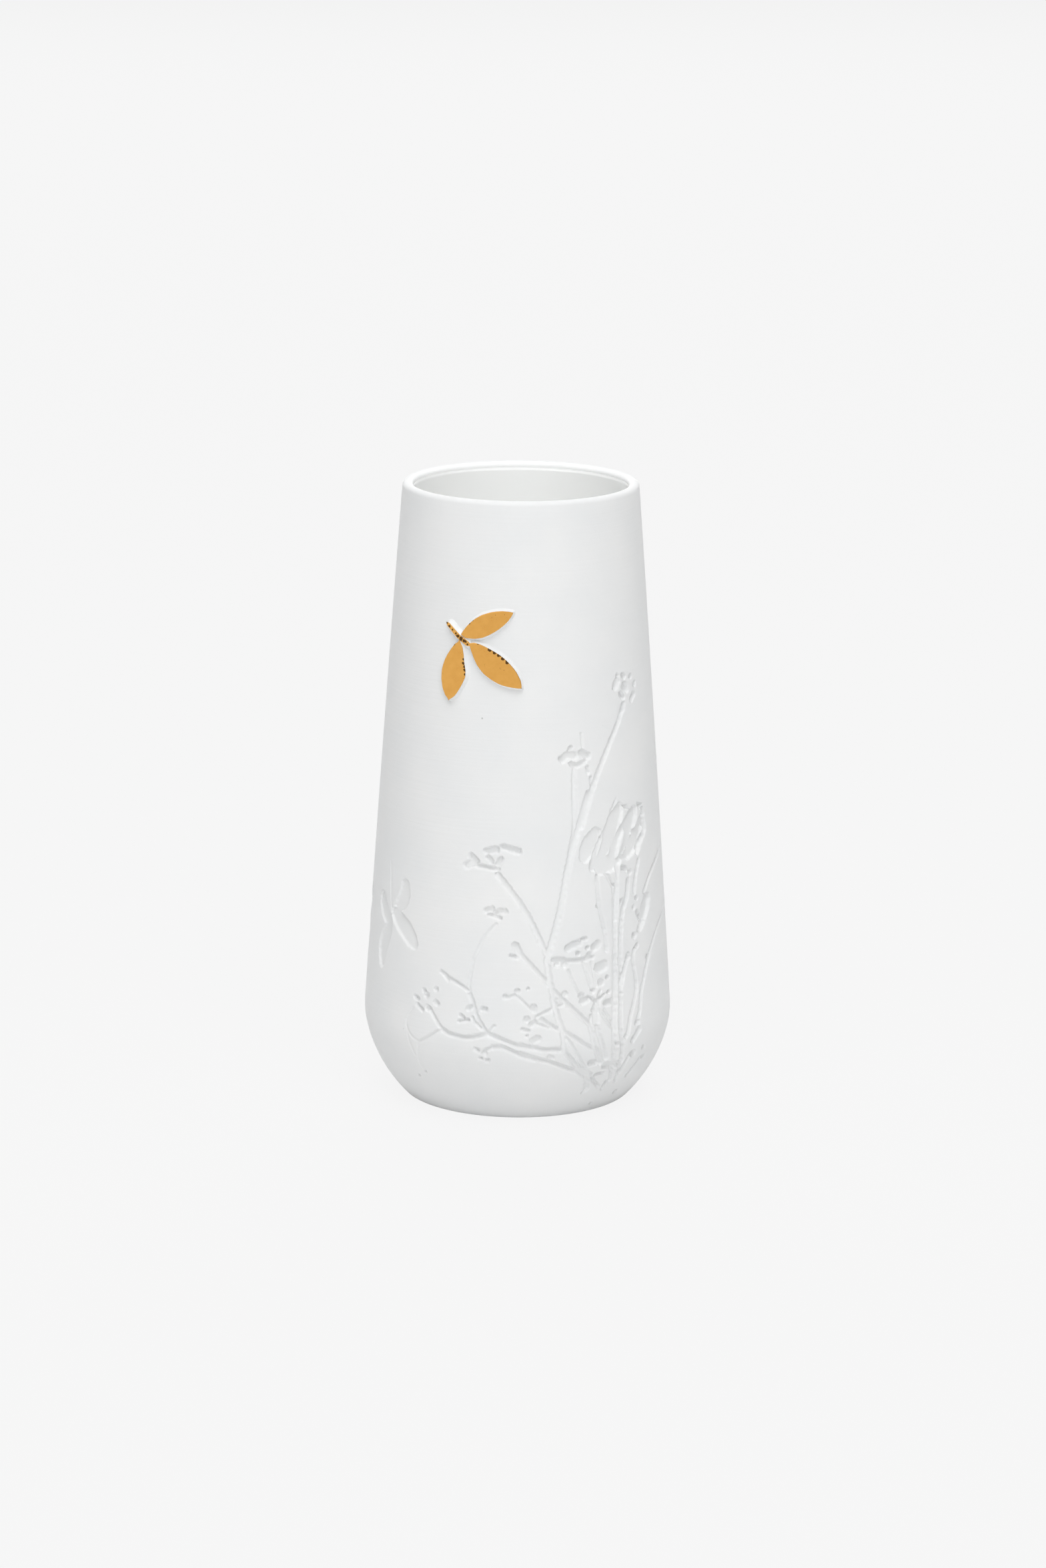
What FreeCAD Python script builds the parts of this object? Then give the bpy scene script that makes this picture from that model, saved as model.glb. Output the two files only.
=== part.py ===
"""Small slip-cast porcelain vase with a gilded three-leaf sprig on its side.

Lengths are millimetres. The origin is the centre of the plane that the foot stands on, +Z points up the
vase and -Y is the side that carries the gilded sprig. Azimuths are degrees round the wall from -Y
towards +X.
"""

import FreeCAD, Part
import math
import os

from FreeCAD import Vector

# The outside of the body: a heel, a shoulder and a long, nearly straight side, each tangent to the next.
height = 121.0
belly_radius = 30.0
belly_height = 17.0
shoulder_radius = 15.5
shoulder_to_heel = math.radians(13.0)
shoulder_to_side = math.radians(3.7)
heel_radius = 28.0
side_radius = 8800.0
foot_edge_radius = 1.2

# The wall, the lip and the floor.
wall = 2.0
lip_radius = 0.9
floor_thickness = 3.2
floor_fillet = 6.0
foot_ring_width = 3.6
foot_recess = 0.9
recess_slope_width = 1.2

# The clear glaze that lines the inside.
glaze = 0.2
glaze_starts_below_rim = 1.0
glaze_feather = 1.4

# The sprig: raised porcelain leaves and their twig, each with gilding on its top.
relief_height = 0.85
relief_draft = 0.45
gilding = 0.1
gilding_inset = 0.05
twig_width = 0.85
twig_bow = 0.35
sprig_low = 78.0
sprig_high = 104.0
through = 2.5

# Each leaf: azimuth and height of its base and its tip, then how far its two edges bow out from the
# straight line between them, the left edge (seen going from base to tip) first.
leaves = {
    "upper": ((-26.0, 95.2), (-2.8, 100.1), 1.75, 1.85),
    "right": ((-21.8, 93.8), (1.4, 85.4), 2.25, 2.35),
    "left": ((-26.9, 94.9), (-31.0, 82.7), 2.2, 2.15),
}
twig_ends = ((-32.7, 97.5), (-21.7, 93.8))


def polar(centre, radius, angle):
    """The point of a profile at an angle above the outward horizontal, as (radius, height)."""
    return centre[0] + radius * math.cos(angle), centre[1] + radius * math.sin(angle)


def angle_at(centre, point):
    return math.atan2(point[1] - centre[1], point[0] - centre[0])


shoulder_centre = (belly_radius - shoulder_radius, belly_height)
low_joint = polar(shoulder_centre, shoulder_radius, -shoulder_to_heel)
high_joint = polar(shoulder_centre, shoulder_radius, shoulder_to_side)
heel_centre = polar(low_joint, -heel_radius, -shoulder_to_heel)
side_centre = polar(high_joint, -side_radius, shoulder_to_side)


def on_side(inset, z):
    """The point of the side, moved in by inset, at height z."""
    return polar(side_centre, side_radius - inset, math.asin((z - side_centre[1]) / (side_radius - inset)))


def point(p):
    """A profile point, in the plane y = 0."""
    return Vector(p[0], 0, p[1])


def line(a, b):
    return Part.LineSegment(point(a), point(b)).toShape()


def arc(centre, radius, start, end):
    """A profile arc from one angle to another."""
    first, middle, last = (polar(centre, radius, a) for a in (start, (start + end) / 2, end))
    return Part.Arc(point(first), point(middle), point(last)).toShape()


def turned(edges):
    """The closed profile spun once round the axis."""
    face = Part.Face(Part.Wire(Part.__sortEdges__(edges)))
    return face.revolve(Vector(0, 0, 0), Vector(0, 0, 1), 360)


def wall_arcs(inset, low_angle, top):
    """Heel, shoulder and side, all moved in by inset, from an angle on the heel up to the height top."""
    side_top = angle_at(side_centre, on_side(inset, top))
    return [
        arc(heel_centre, heel_radius - inset, low_angle, -shoulder_to_heel),
        arc(shoulder_centre, shoulder_radius - inset, -shoulder_to_heel, shoulder_to_side),
        arc(side_centre, side_radius - inset, shoulder_to_side, side_top),
    ]


def inside(inset, floor, fillet, top):
    """The lining of the vase: along the floor from the axis, round the fillet and up the wall to top."""
    reach = heel_radius - inset - fillet
    rise = floor + fillet - heel_centre[1]
    fillet_centre = (heel_centre[0] + math.sqrt(reach**2 - rise**2), floor + fillet)
    meet = angle_at(heel_centre, fillet_centre)
    return [
        line((0, floor), (fillet_centre[0], floor)),
        arc(fillet_centre, fillet, -math.pi / 2, meet),
        *wall_arcs(inset, meet, top),
    ]


def vase_body():
    """The bisque shell: foot ring, heel, belly, side and rounded lip, all one casting."""
    # The foot's outer edge is rounded into the heel.
    reach = heel_radius - foot_edge_radius
    rise = foot_edge_radius - heel_centre[1]
    edge_centre = (heel_centre[0] + math.sqrt(reach**2 - rise**2), foot_edge_radius)
    edge_meet = angle_at(heel_centre, edge_centre)
    ring_in = edge_centre[0] - foot_ring_width
    recess_out = ring_in - recess_slope_width
    underside = [
        line((0, foot_recess), (recess_out, foot_recess)),
        line((recess_out, foot_recess), (ring_in, 0)),
        line((ring_in, 0), (edge_centre[0], 0)),
        arc(edge_centre, foot_edge_radius, -math.pi / 2, edge_meet),
    ]
    # The lip is rounded outside and inside, with a sliver of flat between the two.
    lip_z = height - lip_radius
    out_centre = on_side(lip_radius, lip_z)
    in_centre = on_side(wall - lip_radius, lip_z)
    out_meet = angle_at(side_centre, out_centre)
    in_meet = angle_at(side_centre, in_centre)
    out_top = polar(side_centre, side_radius, out_meet)[1]
    in_top = polar(side_centre, side_radius - wall, in_meet)[1]
    lip = [
        arc(out_centre, lip_radius, out_meet, math.pi / 2),
        line((out_centre[0], height), (in_centre[0], height)),
        arc(in_centre, lip_radius, math.pi / 2, math.pi + in_meet),
    ]
    outside = wall_arcs(0, edge_meet, out_top)
    lining = inside(wall, floor_thickness, floor_fillet, in_top)
    axis = line((0, foot_recess), (0, floor_thickness))
    return turned([*underside, *outside, *lip, *lining, axis])


def inner_glaze():
    """The fired glaze on the inside, which thins to nothing a little below the lip."""
    top = height - glaze_starts_below_rim
    full = top - glaze_feather
    against_wall = inside(wall, floor_thickness, floor_fillet, top)
    wet_face = inside(wall + glaze, floor_thickness + glaze, floor_fillet - glaze, full)
    feather = line(on_side(wall, top), on_side(wall + glaze, full))
    axis = line((0, floor_thickness), (0, floor_thickness + glaze))
    return turned([*against_wall, *wet_face, feather, axis])


def side_shell(low, high):
    """The layer that stands between low and high above the side, over the heights that the sprig covers."""
    ends = [[on_side(-rise, z) for z in (sprig_low, sprig_high)] for rise in (low, high)]
    (low_foot, low_top), (high_foot, high_top) = ends
    faces = [
        arc(side_centre, side_radius + rise, angle_at(side_centre, foot), angle_at(side_centre, top))
        for rise, (foot, top) in ((low, ends[0]), (high, ends[1]))
    ]
    return turned([*faces, line(low_foot, high_foot), line(low_top, high_top)])


def wall_point(azimuth, z):
    radius = on_side(0, z)[0]
    turn = math.radians(azimuth)
    return Vector(radius * math.sin(turn), -radius * math.cos(turn), z)


class Patch:
    """A flat working plane that touches the side midway between two points of the wall.

    x runs from the first point towards the second, y to its left as seen from outside.
    """

    def __init__(self, start, end):
        a, b = wall_point(*start), wall_point(*end)
        azimuth = math.radians((start[0] + end[0]) / 2)
        z = (start[1] + end[1]) / 2
        lean = angle_at(side_centre, on_side(0, z))
        level = math.cos(lean)
        outward = Vector(math.sin(azimuth) * level, -math.cos(azimuth) * level, math.sin(lean))
        along = b - a
        along = (along - outward * along.dot(outward)).normalize()
        self.length = (b - a).dot(along)
        self.middle = wall_point((start[0] + end[0]) / 2, z)
        self.along = along
        self.across = outward.cross(along)
        self.outward = outward

    def at(self, x, y, rise):
        """A point x along from the middle, y across, and rise above the plane."""
        return self.middle + self.along * x + self.across * y + self.outward * rise


def lens(patch, left, right, grow, rise):
    """A pointed leaf outline: two arcs from base to tip, moved out by grow."""
    half = patch.length / 2 + 2 * grow
    base, tip = patch.at(-half, 0, rise), patch.at(half, 0, rise)
    return Part.Wire(
        [
            Part.Arc(base, patch.at(0, left + grow, rise), tip).toShape(),
            Part.Arc(tip, patch.at(0, -right - grow, rise), base).toShape(),
        ]
    )


def bar(patch, width, bow, grow, rise):
    """A slightly bowed strip with round ends, moved out by grow."""
    half, side = patch.length / 2, width / 2 + grow
    ends = [(s * half, 0, s * (half + side)) for s in (-1, 1)]
    corners = {(s, t): patch.at(s * half, t * side, rise) for s in (-1, 1) for t in (-1, 1)}
    return Part.Wire(
        [
            Part.Arc(corners[-1, 1], patch.at(0, side - bow, rise), corners[1, 1]).toShape(),
            Part.Arc(corners[1, 1], patch.at(ends[1][2], 0, rise), corners[1, -1]).toShape(),
            Part.Arc(corners[1, -1], patch.at(0, -side - bow, rise), corners[-1, -1]).toShape(),
            Part.Arc(corners[-1, -1], patch.at(ends[0][2], 0, rise), corners[-1, 1]).toShape(),
        ]
    )


def drafted(outline, high):
    """A block up to a rise of high: the outline at the relief's height, and wider below it."""
    slope = relief_draft / relief_height
    foot = outline(relief_draft + through * slope, -through)
    head = outline(relief_draft - high * slope, high)
    return Part.makeLoft([foot, head], True, True)


def straight(patch, outline, low, high):
    """A block of one section, the outline less the gilding's inset, between two rises."""
    return Part.Face(outline(-gilding_inset, low)).extrude(patch.outward * (high - low))


def solid_of(shape):
    """The one solid that a cut leaves, without stray splinters."""
    return max(shape.Solids, key=lambda s: s.Volume)


def sprig():
    """The twig and the three leaves, with the gilding of each, as name to solid.

    The leaves follow the wall. The twig's top is flat, and the leaves stop at it.
    """
    relief = side_shell(0, relief_height)
    film = side_shell(relief_height, relief_height + gilding)
    twig_patch = Patch(*twig_ends)

    def twig_outline(grow, rise):
        return bar(twig_patch, twig_width, twig_bow, grow, rise)

    twig_top = relief_height + gilding
    twig_block = drafted(twig_outline, through)
    twig_path = straight(twig_patch, twig_outline, -through, through)
    made = {
        "twig_relief": solid_of(side_shell(0, through).common(drafted(twig_outline, relief_height))),
        "twig_gilding": straight(twig_patch, twig_outline, relief_height, twig_top),
    }
    for name, (base, tip, left, right) in leaves.items():
        patch = Patch(base, tip)

        def leaf_outline(grow, rise, patch=patch, left=left, right=right):
            return lens(patch, left, right, grow, rise)

        block = relief.common(drafted(leaf_outline, through)).cut(twig_block)
        top = film.common(straight(patch, leaf_outline, -through, through)).cut(twig_path)
        made[name + "_leaf_relief"] = solid_of(block)
        made[name + "_leaf_gilding"] = solid_of(top)
    return made


def main():
    os.makedirs("parts", exist_ok=True)
    nodes = {"vase_body": vase_body(), "inner_glaze": inner_glaze(), **sprig()}
    for name, shape in nodes.items():
        solid = solid_of(shape)
        print(f"{name}: valid {solid.isValid()}, {solid.Volume:.2f} mm3")
        solid.exportStep(f"parts/{name}.step")


main()
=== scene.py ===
"""The small porcelain vase with its gilded sprig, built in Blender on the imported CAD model.

Shapes are worked out in millimetres in the CAD frame (origin at the centre of the foot, +Z up, -Y towards
the gilded sprig) and turned into metres when each piece is finished. Azimuths are degrees round the wall
from -Y towards +X.
"""

import math

import bmesh
import bpy
import numpy as np
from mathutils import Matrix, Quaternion, Vector


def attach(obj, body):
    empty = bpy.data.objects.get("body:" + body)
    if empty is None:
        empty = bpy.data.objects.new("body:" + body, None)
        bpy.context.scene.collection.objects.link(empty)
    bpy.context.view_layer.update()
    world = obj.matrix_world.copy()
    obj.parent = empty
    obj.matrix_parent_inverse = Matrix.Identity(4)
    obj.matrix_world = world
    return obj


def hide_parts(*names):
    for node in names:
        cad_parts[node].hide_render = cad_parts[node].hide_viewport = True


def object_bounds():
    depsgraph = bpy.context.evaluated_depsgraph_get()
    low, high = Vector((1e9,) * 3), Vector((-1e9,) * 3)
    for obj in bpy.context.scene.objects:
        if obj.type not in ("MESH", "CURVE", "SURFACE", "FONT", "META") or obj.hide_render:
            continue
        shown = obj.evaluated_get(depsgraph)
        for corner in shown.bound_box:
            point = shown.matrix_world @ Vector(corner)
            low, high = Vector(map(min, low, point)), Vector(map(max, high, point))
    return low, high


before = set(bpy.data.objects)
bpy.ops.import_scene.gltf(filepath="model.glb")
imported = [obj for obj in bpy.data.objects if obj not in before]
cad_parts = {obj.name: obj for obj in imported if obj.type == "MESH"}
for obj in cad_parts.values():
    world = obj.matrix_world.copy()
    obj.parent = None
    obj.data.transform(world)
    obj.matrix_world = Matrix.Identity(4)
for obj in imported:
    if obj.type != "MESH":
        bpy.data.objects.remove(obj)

MM = 0.001
cad_low, cad_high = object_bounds()
scene = bpy.context.scene

# ---- The profile of the body, as the CAD has it ----

HEIGHT = (cad_high.z - cad_low.z) / MM
BELLY = (cad_high.x - cad_low.x) / 2 / MM
BELLY_HEIGHT = 17.0
SHOULDER, HEEL, SIDE = 15.5, 28.0, 8800.0
TO_HEEL, TO_SIDE = math.radians(13.0), math.radians(3.7)
WALL = 2.0
LIP = 0.9
FOOT_EDGE, FOOT_RING, RECESS = 1.2, 3.6, 0.9
INSIDE_FLOOR, FILLET = 3.2, 6.0
GLAZE = 0.12
GLAZE_BELOW_RIM = 1.0


def polar(centre, radius, angle):
    """The point of a profile at an angle above the outward horizontal, as (radius, height)."""
    return centre[0] + radius * math.cos(angle), centre[1] + radius * math.sin(angle)


SHOULDER_C = (BELLY - SHOULDER, BELLY_HEIGHT)
LOW_JOIN = polar(SHOULDER_C, SHOULDER, -TO_HEEL)
HIGH_JOIN = polar(SHOULDER_C, SHOULDER, TO_SIDE)
HEEL_C = polar(LOW_JOIN, -HEEL, -TO_HEEL)
SIDE_C = polar(HIGH_JOIN, -SIDE, TO_SIDE)


def section(z):
    """Centre and radius of the arc that the outside follows at height z."""
    if z < LOW_JOIN[1]:
        return HEEL_C, HEEL
    if z < HIGH_JOIN[1]:
        return SHOULDER_C, SHOULDER
    return SIDE_C, SIDE


def outer(z, inset=0.0):
    """Radius of the outside, moved in by inset, at height z."""
    centre, radius = section(z)
    return centre[0] + math.sqrt((radius - inset) ** 2 - (z - centre[1]) ** 2)


def slope(z):
    """The outward normal of the outside at height z, as (radial, vertical)."""
    centre, radius = section(z)
    rise = (z - centre[1]) / radius
    return math.sqrt(1 - rise * rise), rise


def on_wall(azimuth, z, rise=0.0):
    """The point rise above the outside."""
    out, up = slope(z)
    radius, turn = outer(z) + rise * out, math.radians(azimuth)
    return Vector((radius * math.sin(turn), -radius * math.cos(turn), z + rise * up))


# ---- The pressed plants ----

# Each stroke: half its width, its depth, and the (azimuth, height) points that it runs through.
MEADOW = [
    # The tall stalks
    (0.61, 0.73, [
        (26, 10.2), (21, 13), (17.5, 15.4), (17.5, 16.8), (17, 19.4), (15.5, 21.6),
        (14, 24.4), (13, 27.4), (12, 30), (11, 33.6),
    ]),
    (0.61, 0.68, [(11.5, 34), (2.5, 43.2), (-8, 50)]),
    (0.63, 0.73, [(11.5, 34), (16.5, 43), (20, 51.2), (23.5, 56.6), (29.5, 65)]),
    (0.55, 0.68, [(26, 58.6), (32, 66.2), (38, 71.6), (47, 78), (50, 80.8)]),
    (0.5, 0.57, [(20, 51.2), (21.5, 55.2), (23, 58.8), (23, 65.8), (23.5, 70.4)]),
    (0.43, 0.49, [(24, 58.8), (23.5, 64.4), (23.5, 70)]),
    (0.52, 0.65, [
        (27.5, 20.2), (23.5, 22.4), (20, 24), (17, 25.6), (13, 27.8), (10, 29.8),
        (5.5, 32.2), (1, 34.8),
    ]),
    (0.39, 0.45, [(18, 18.2), (20.5, 16.4), (24, 13.4), (27.5, 10.6)]),
    (0.45, 0.57, [(29.5, 15.2), (26, 16.2), (21, 18.2), (16, 19.6), (12.5, 20.6), (9, 22)]),
    (0.39, 0.5, [(7, 22.4), (10, 23.2), (13.5, 24), (17.5, 24.6)]),
    # Flowers on the left stalk
    (0.85, 0.77, [(-20.5, 51.4), (-18, 52)]),
    (0.7, 0.77, [(-19, 53.2), (-17, 52.4)]),
    (0.48, 0.77, [(-17, 51.6), (-8, 51)]),
    (0.77, 0.77, [(-12.5, 54.4), (-9, 54.8)]),
    (0.7, 0.77, [(-6, 55.4), (0, 54.6)]),
    (0.56, 0.77, [(-12, 53.2), (-10.5, 52.4)]),
    (0.63, 0.77, [(-7, 53), (-8, 52)]),
    # A pair of florets
    (0.59, 0.63, [(-12.5, 43), (-10, 43.4)]),
    (0.52, 0.63, [(-9, 42.6), (-8, 42.6)]),
    (0.62, 0.63, [(-7, 43), (-5, 43)]),
    (0.46, 0.63, [(-11, 42.2), (-7, 41.6)]),
    # The thin curved stem and its side shoots
    (0.37, 0.34, [(-8.5, 40.4), (-12.5, 38), (-15, 35.6), (-17.5, 32.8)]),
    (0.35, 0.47, [(-17, 33.4), (-18, 30.6), (-18.5, 28), (-18, 26.4)]),
    (0.44, 0.65, [(-18, 26.4), (-16.5, 24.4), (-15.5, 22.6), (-13.5, 20.8), (-11, 19)]),
    (0.39, 0.6, [(-30, 30.2), (-26.5, 29.2), (-23, 28.4), (-19, 27.2)]),
    (0.3, 0.47, [(-29.5, 30), (-27, 28.6)]),
    (0.33, 0.37, [(-11, 19), (-8.5, 20.6)]),
    (0.35, 0.6, [(-17, 22), (-16, 21.2), (-13.5, 20)]),
    (0.51, 0.71, [(-18.5, 23.6), (-17.5, 24)]),
    (0.42, 0.71, [(-21.5, 22.2), (-20.5, 21.8)]),
    (0.39, 0.71, [(-22, 21), (-18.5, 21.4)]),
    (0.53, 0.71, [(-13, 23.8), (-12, 23.8)]),
    # The long branches to the lower left
    (0.5, 0.67, [
        (-29, 19), (-26.5, 18.4), (-22, 18), (-18.5, 18), (-14.5, 18.4), (-11, 19),
        (-6.5, 18.2), (-3, 17.4), (1, 16.8), (6.5, 16.4),
    ]),
    (0.52, 0.67, [(1, 17), (9, 16), (15.5, 15.8), (17.5, 15.4)]),
    (0.5, 0.63, [(-9, 16.4), (-6.5, 16.6), (-3, 16), (2.5, 14.6), (6.5, 14)]),
    (0.5, 0.63, [(1, 15.2), (7, 14.2), (13.5, 13), (20.5, 11.4), (26, 10.2)]),
    (0.41, 0.55, [(-34.5, 22.6), (-33, 21.4), (-29, 19)]),
    (0.34, 0.39, [(-29, 19), (-34, 17.2), (-39, 15.6)]),
    (0.27, 0.2, [(-39, 15.6), (-42.5, 16.2), (-45, 17.6), (-45.5, 19.4), (-42.5, 22)]),
    (0.27, 0.13, [(-39.5, 15.2), (-40.5, 13.2), (-40.5, 10.6), (-38.5, 9.4)]),
    (0.27, 0.11, [(-45, 17.2), (-44, 15), (-42, 12.4)]),
    (0.39, 0.55, [(-9, 16.4), (-11.5, 15.8), (-12.5, 15.2)]),
    # Berries, and the twigs that carry them
    (0.55, 0.64, [(-37.5, 25.8)]),
    (0.55, 0.64, [(-32, 26.6)]),
    (0.55, 0.64, [(-41.5, 24.2), (-40.5, 24)]),
    (0.59, 0.64, [(-36, 25)]),
    (0.59, 0.64, [(-32, 24), (-31.5, 23.8)]),
    (0.45, 0.64, [(-40.5, 22.8), (-38, 22)]),
    (0.65, 0.64, [(-35.5, 22.6)]),
    (0.33, 0.64, [(-43, 8)]),
    (0.26, 0.64, [(-38.5, 9.2)]),
    (0.45, 0.64, [(-15.5, 15.8), (-14.5, 15.6)]),
    (0.55, 0.64, [(-12, 15.2)]),
    (0.42, 0.64, [(-13.5, 14)]),
    (0.52, 0.64, [(-11, 13.6)]),
    (0.55, 0.64, [(-4.5, 26.4)]),
    (0.55, 0.64, [(0, 27.6)]),
    (0.36, 0.64, [(4, 28)]),
    (0.65, 0.64, [(6, 24.4), (6, 23.8)]),
    (0.72, 0.64, [(3.5, 22)]),
    (0.55, 0.64, [(5, 21), (6.5, 21.4)]),
    (0.42, 0.64, [(2, 20), (4, 19.8)]),
    (0.36, 0.64, [(3.5, 18.8)]),
    (0.78, 0.64, [(6, 17.8), (7.5, 18.2)]),
    (0.31, 0.41, [(-3.5, 26.2), (-1, 26.8), (1.5, 25.8), (4.5, 24.2)]),
    (0.31, 0.38, [(6.5, 21.2), (9, 20.8), (12, 20.2)]),
    # A bud, and single spots
    (0.77, 0.69, [(-1, 36.4), (0.5, 34.8)]),
    (0.5, 0.69, [(-2.5, 34.4), (0, 34)]),
    (0.7, 0.59, [(18, 26.6)]),
    (0.44, 0.49, [(14.5, 25.6)]),
    (0.5, 0.49, [(12, 14.4), (13, 14.2)]),
    # The umbel on the right
    (0.77, 0.74, [(19.5, 35.4), (21.5, 36), (24, 36.2)]),
    (0.44, 0.74, [(25.5, 37), (27, 37)]),
    (0.5, 0.74, [(27.5, 35.2)]),
    (0.83, 0.74, [(30.5, 35), (32, 35.6)]),
    (0.57, 0.74, [(23.5, 34.2)]),
    (0.6, 0.74, [(28, 33.8)]),
    (0.7, 0.74, [(14, 33.4), (17.5, 33.2)]),
    (0.49, 0.74, [(17.5, 33.2), (21.5, 33), (26, 33), (29.5, 33.2)]),
    (0.6, 0.74, [(15, 32.4)]),
    (0.7, 0.74, [(18, 32.2)]),
    (1.15, 0.74, [(32.5, 31), (34.5, 31.2)]),
    (0.77, 0.74, [(33, 28)]),
    (0.47, 0.74, [(36, 28.8)]),
    (0.7, 0.74, [(24.5, 26)]),
    (0.77, 0.74, [(25, 24.8), (26.5, 25)]),
    (0.5, 0.74, [(29.5, 26.6)]),
    (0.47, 0.74, [(36.5, 26)]),
    (0.7, 0.74, [(35, 23.8), (38, 24)]),
    (0.6, 0.74, [(29.5, 22.8)]),
    (0.7, 0.74, [(31, 24.4)]),
    (0.34, 0.74, [(31, 24.4), (34.5, 25.6)]),
    (0.31, 0.74, [(31, 24.4), (32.5, 26.4)]),
    (0.34, 0.74, [(31, 24.4), (27.5, 25.6)]),
    (0.31, 0.44, [(19.5, 31.2), (21.5, 28.6), (24, 26.2)]),
    (0.31, 0.44, [(25.5, 32.4), (27.5, 29.2), (29, 26.6)]),
    (0.28, 0.44, [(29, 32.4), (30, 29.4), (31, 27.4)]),
    (0.34, 0.44, [(31, 23.6), (34, 21), (37, 19)]),
    (0.31, 0.44, [(34, 22.6), (37.5, 20)]),
    (0.44, 0.44, [(28.5, 21.8), (28, 19.8)]),
    (0.83, 0.44, [(30.5, 23.4), (30.5, 20.4)]),
    (0.52, 0.66, [(28, 19.8), (29, 17.6), (30, 15.6), (33, 12.2)]),
    (0.57, 0.69, [(31, 19.4), (32.5, 16.8), (35.5, 12.6)]),
    # Stems of the bunch
    (0.44, 0.73, [(32.5, 48.8), (33, 44.6), (34, 41.2), (35, 39), (36, 35.8), (36, 34)]),
    (0.51, 0.73, [(37, 49), (40.5, 46.2), (40.5, 41.8), (40, 31.8)]),
    (0.62, 0.78, [(40, 32.8), (39.5, 26.2), (38.5, 17.6), (40, 11.6)]),
    (0.46, 0.73, [(43, 50.2), (42, 43.8), (41, 39.6)]),
    (0.51, 0.78, [(48.5, 46.8), (47.5, 43.4), (45, 41.4), (43.5, 37.4), (42.5, 31.4)]),
    (0.51, 0.78, [(43, 34.6), (42, 21.6), (42, 17.2), (44, 11.2)]),
    (0.46, 0.73, [(47, 32.4), (44.5, 29.4), (43, 26.8)]),
    (0.49, 0.73, [(56, 50), (53.5, 47.2), (52, 44)]),
    (0.46, 0.73, [(77.5, 49.6), (65.5, 46.6), (59, 43.4)]),
    (0.39, 0.64, [(79.5, 37.4), (69.5, 35.2), (61, 31.4)]),
    (0.46, 0.73, [(61, 31), (58, 28.6), (54, 24.2), (52.5, 20.4), (50, 18.4)]),
    (0.46, 0.68, [(52.5, 33.6), (49.5, 31.8), (50.5, 28.2), (51, 25), (47, 20), (45.5, 16.8)]),
    # Petals and folds of the bunch
    (0.6, 0.78, [(61, 57.4), (62, 55.4), (57, 53), (55.5, 51.6)]),
    (0.5, 0.75, [(60.5, 59.6), (61.5, 58.4)]),
    (0.6, 0.78, [(45.5, 51.6), (48.5, 51.3)]),
    (0.6, 0.75, [(45.8, 49.4), (48, 49)]),
    (0.55, 0.75, [(53.5, 42.8)]),
    (0.5, 0.75, [(51.5, 41.2)]),
    (0.55, 0.75, [(53.5, 40), (55, 38.6)]),
    (0.65, 0.75, [(56.5, 39)]),
    (0.8, 0.75, [(54.5, 36.6), (57, 37.6)]),
    (0.75, 0.75, [(51, 35.6)]),
    (0.6, 0.75, [(52.5, 33.4)]),
    (0.6, 0.75, [(47, 31.8)]),
    (0.5, 0.75, [(59, 30.6)]),
    (0.4, 0.75, [(32.5, 43)]),
    (0.45, 0.75, [(35, 38.8)]),
    (0.6, 0.75, [(44.5, 43)]),
    (0.5, 0.75, [(41.5, 46.4)]),
    (0.6, 0.75, [(50, 48.2)]),
    (0.5, 0.75, [(42.5, 25)]),
    (0.75, 0.75, [(51, 18.4)]),
    (0.7, 0.75, [(52, 17), (48.5, 15.2)]),
    (0.8, 0.75, [(50, 12.2)]),
    (0.5, 0.75, [(56, 12.8)]),
    (0.5, 0.75, [(58, 10.6)]),
    (0.75, 0.75, [(29, 12.2), (31, 12.2)]),
    (0.5, 0.75, [(33.5, 11.8)]),
    (0.5, 0.75, [(40.5, 15.2)]),
    (0.55, 0.75, [(44.5, 16.4)]),
    # Where the stems meet, near the foot
    (0.96, 0.72, [(26, 10.4), (29, 9.4)]),
    (0.6, 0.72, [(28.5, 9), (30, 6.2)]),
    (0.42, 0.72, [(31, 8.6), (35.5, 6.4)]),
    (0.48, 0.72, [(32.5, 9.4), (35.5, 9.4)]),
    (0.42, 0.72, [(36.5, 2.2)]),
    (0.42, 0.72, [(38.5, 5.6), (39, 7.2)]),
    (0.48, 0.72, [(39.5, 10), (41, 7.4)]),
    (0.42, 0.72, [(43.5, 10.4), (44.5, 6.6)]),
    (0.48, 0.72, [(48.5, 12.4), (45, 8.6)]),
    (0.42, 0.72, [(56, 10.4), (51, 7.2)]),
    (0.54, 0.72, [(49, 3.8)]),
    (0.36, 0.72, [(28.5, 5.4), (30, 5.8)]),
    (0.84, 0.72, [(36, 11), (42, 10.8)]),
    # The two flower heads at the top
    (0.85, 0.69, [(18.2, 72), (20.5, 72.7), (23.5, 72.5)]),
    (0.45, 0.69, [(21.2, 73.6), (22, 74.2)]),
    (0.75, 0.69, [(27, 72.9), (29.8, 72.2)]),
    (0.55, 0.62, [(22, 71), (25, 70.6), (28, 71.2)]),
    (0.25, 0.38, [(26.8, 76.6), (27.4, 74)]),
    (0.4, 0.62, [(29.4, 70), (29.8, 69)]),
    (0.32, 0.62, [(30.8, 68), (30.8, 66.8)]),
    (0.45, 0.62, [(31.5, 66), (30.5, 65)]),
    (0.8, 0.75, [(45.6, 84.6), (47, 85.4)]),
    (0.45, 0.75, [(47.4, 86.6)]),
    (0.55, 0.75, [(50.8, 86.4), (52, 86)]),
    (0.8, 0.75, [(51.6, 84.4), (53, 83.6)]),
    (0.55, 0.75, [(56.4, 85.8)]),
    (0.65, 0.75, [(59.5, 84.2)]),
    (0.65, 0.75, [(58.4, 82.2), (56.4, 81.4)]),
    (0.6, 0.75, [(49, 83), (50.4, 82.2)]),
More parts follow.
